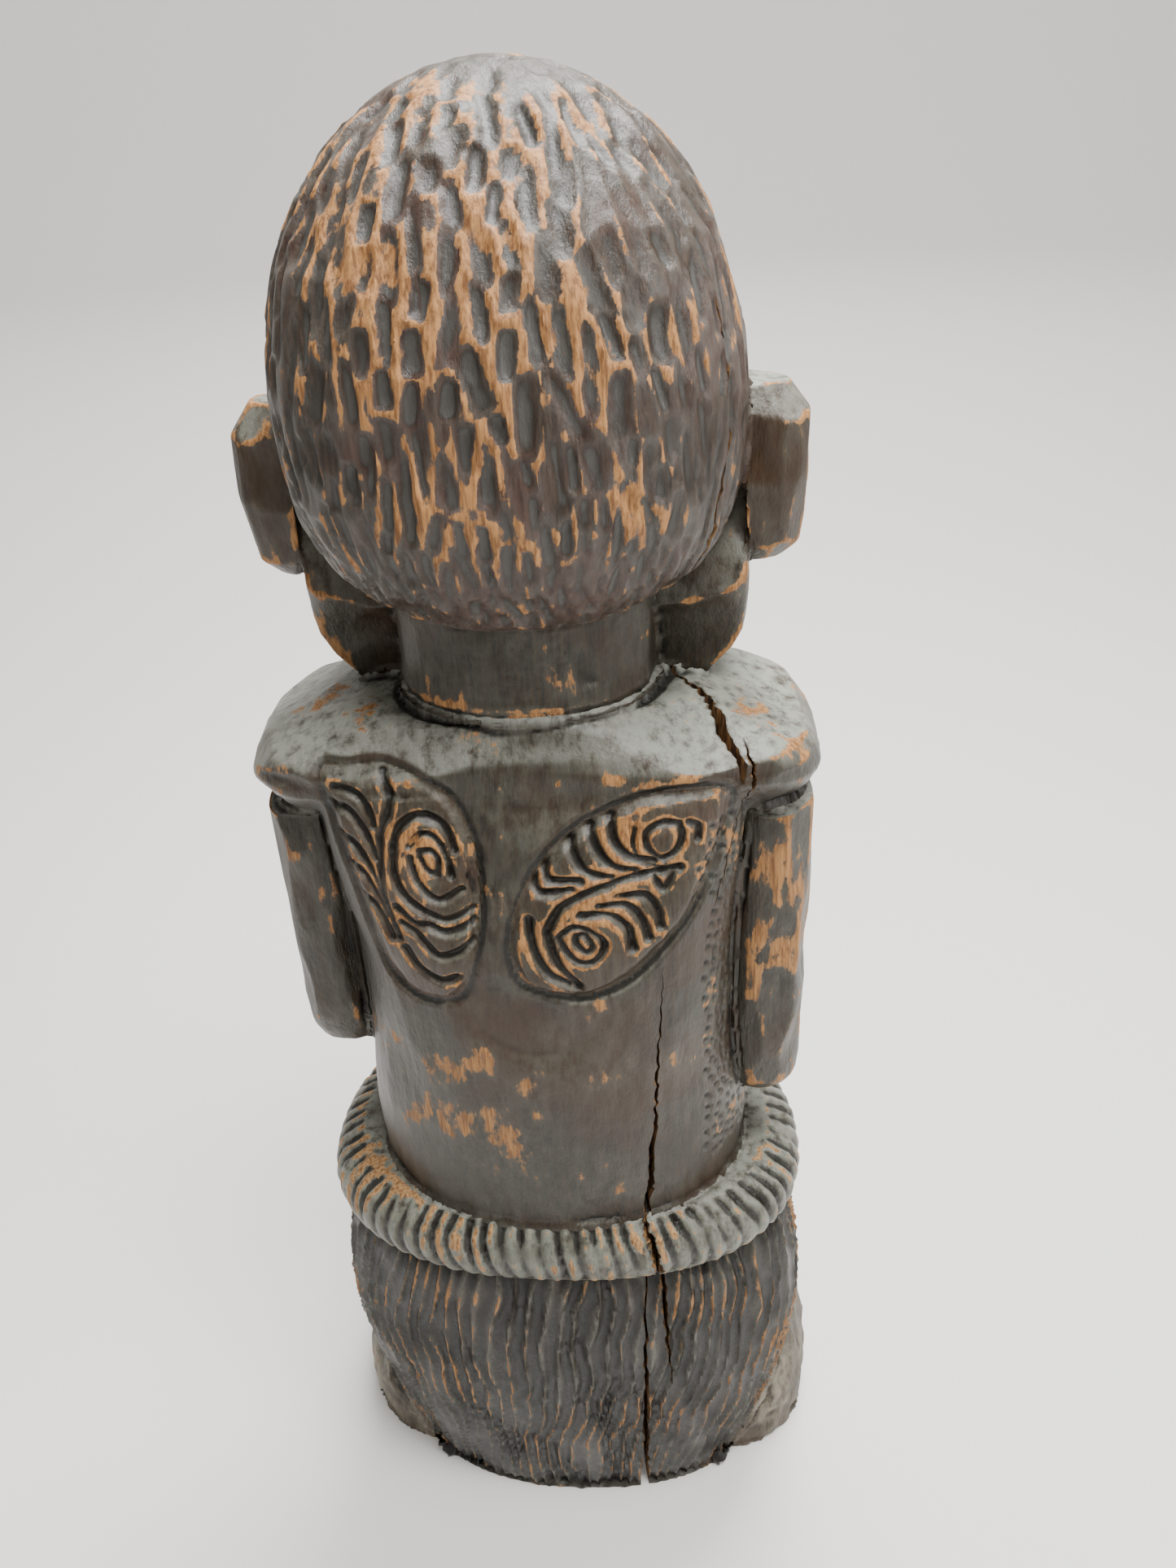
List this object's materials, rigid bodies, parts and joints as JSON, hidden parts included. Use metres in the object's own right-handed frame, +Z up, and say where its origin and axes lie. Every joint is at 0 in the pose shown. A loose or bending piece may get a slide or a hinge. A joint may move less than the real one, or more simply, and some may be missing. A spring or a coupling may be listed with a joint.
{
  "type": "carved wooden figure",
  "caption": "Standing figure carved from one log, with a gouged hair cap, block ears, relief panels on the back, hands on the belly, a ribbed waist roll and a grass skirt.",
  "frame": {"origin": "centre of the bounding box at the underside", "axes": "+Z up; the figure looks along -Y, so +X is its own left side"},
  "size_m": [0.23, 0.1761, 0.6],
  "materials": {
    "hair_wood": "dark stain over gouge cuts, rubbed through on the ridges, satin",
    "stained_wood": "dark grey-brown stain, worn to bare wood on the arrises, satin",
    "worn_wood": "stain worn thin over tan wood, satin",
    "skirt_wood": "greyed dark stain in the grooves, satin",
    "grey_wood": "weathered grey wood, dull"
  },
  "bodies": {
    "root": {"hair_cap": "hair_wood", "face": "stained_wood", "left_eye": "stained_wood", "right_eye": "stained_wood", "left_ear": "stained_wood", "right_ear": "stained_wood", "neck": "stained_wood", "shoulder_yoke": "stained_wood", "trunk": "stained_wood", "left_upper_arm": "stained_wood", "right_upper_arm": "stained_wood", "left_forearm": "stained_wood", "right_forearm": "stained_wood", "brow": "worn_wood", "nose": "worn_wood", "upper_lip": "worn_wood", "lower_lip": "worn_wood", "left_hand": "worn_wood", "right_hand": "worn_wood", "left_back_panel": "worn_wood", "right_back_panel": "worn_wood", "skirt": "skirt_wood", "waist_roll": "skirt_wood", "left_leg": "grey_wood", "right_leg": "grey_wood", "left_foot": "grey_wood", "right_foot": "grey_wood"}
  },
  "joints": []
}
